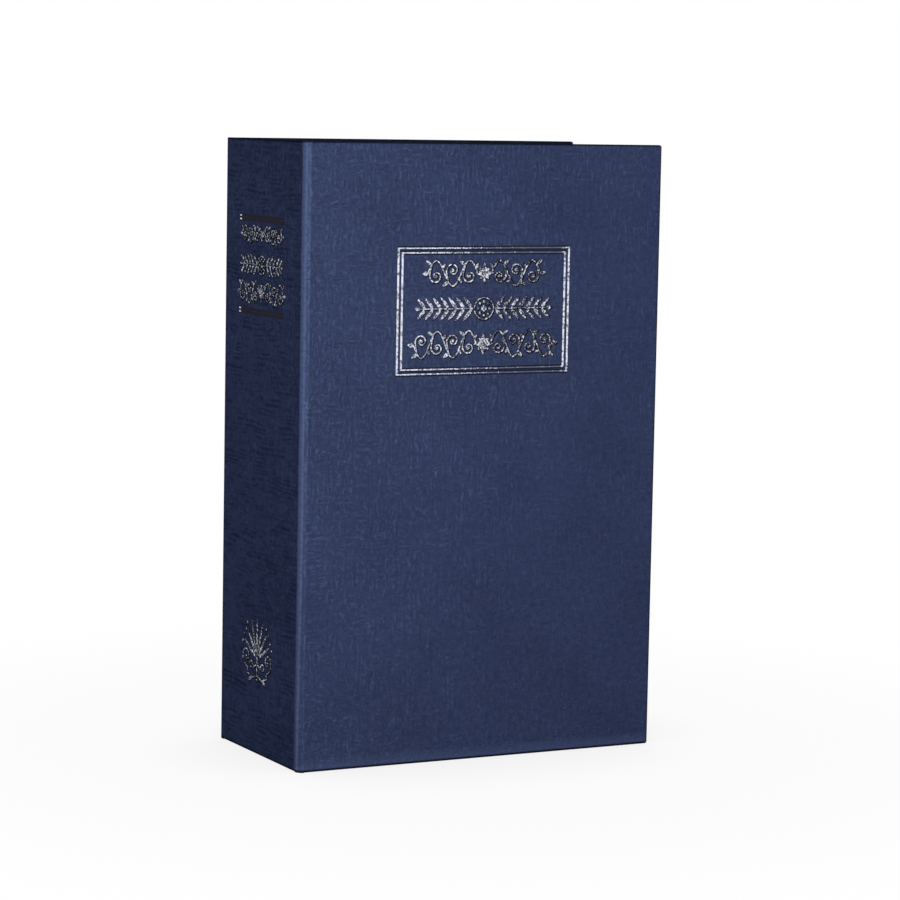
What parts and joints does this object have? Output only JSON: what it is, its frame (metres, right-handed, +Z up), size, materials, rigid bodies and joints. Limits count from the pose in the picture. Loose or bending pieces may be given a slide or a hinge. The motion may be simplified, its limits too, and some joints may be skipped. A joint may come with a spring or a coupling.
{
  "type": "book diversion safe",
  "caption": "Strongbox disguised as a closed hardback book: hinged cloth-grained cover, moulded page block, steel box with a hinged lid and a key-turned cam lock.",
  "frame": {"origin": "centre of the closed book's footprint, on the surface that its tail edge stands on", "axes": "+Z up from tail to head, -Y out of the front cover, -X out of the spine, +X out of the fore edge"},
  "size_m": [0.116, 0.056, 0.18],
  "materials": {
    "book_wrap": "navy imitation-leather paper, fine pressed grain",
    "silver_foil": "hot-stamped silver foil, slightly broken by the grain",
    "greyboard": "uncoated grey binder's board",
    "endpaper": "cream endpaper",
    "page_block": "cream moulding ribbed like page edges",
    "black_steel": "black powder coat on sheet steel",
    "zinc_steel": "bright zinc plate",
    "lock_chrome": "polished chrome plate",
    "brass": "stamped brass wafers"
  },
  "bodies": {
    "case": {"spine_board": "greyboard", "spine_wrap": "book_wrap", "back_cover_board": "greyboard", "back_cover_wrap": "book_wrap", "back_endpaper": "endpaper", "front_hinge_strip": "book_wrap", "page_frame": "page_block", "safe_box": "black_steel", "latch_strike": "zinc_steel", "box_hinge_leaf_lower": "black_steel", "box_hinge_leaf_upper": "black_steel", "hinge_pin_lower": "zinc_steel", "hinge_pin_upper": "zinc_steel"},
    "front_cover": {"front_cover_board": "greyboard", "front_cover_wrap": "book_wrap", "front_endpaper": "endpaper"},
    "lid": {"safe_lid": "black_steel", "lid_hinge_leaf_lower": "black_steel", "lid_hinge_leaf_upper": "black_steel", "lock_housing": "lock_chrome", "lock_washer": "zinc_steel", "lock_nut": "zinc_steel"},
    "lock_plug": {"lock_plug": "lock_chrome", "lock_wafer_1": "brass", "lock_wafer_2": "brass", "lock_wafer_3": "brass", "lock_wafer_4": "brass", "lock_wafer_5": "brass", "lock_cam": "zinc_steel", "cam_washer": "zinc_steel", "cam_screw": "zinc_steel"}
  },
  "joints": [
    {"name": "front_cover_hinge", "type": "hinge", "parent": "case", "child": "front_cover", "pos_m": [-0.0571, -0.0271, 0.09], "axis": [0, 0, -1], "range_deg": [0, 180], "deforming": ["front_hinge_strip"]},
    {"name": "lid_hinge", "type": "hinge", "parent": "case", "child": "lid", "pos_m": [-0.04239, -0.0187, 0.09], "axis": [0, 0, -1], "range_deg": [0, 100]},
    {"name": "lock_turn", "type": "hinge", "parent": "lid", "child": "lock_plug", "pos_m": [0.0295, -0.015, 0.09], "axis": [0, -1, 0], "range_deg": [0, 90]}
  ],
  "couplings": [
    {"joint": "lid_hinge", "follows": "front_cover_hinge", "ratio": 0.5555}
  ]
}
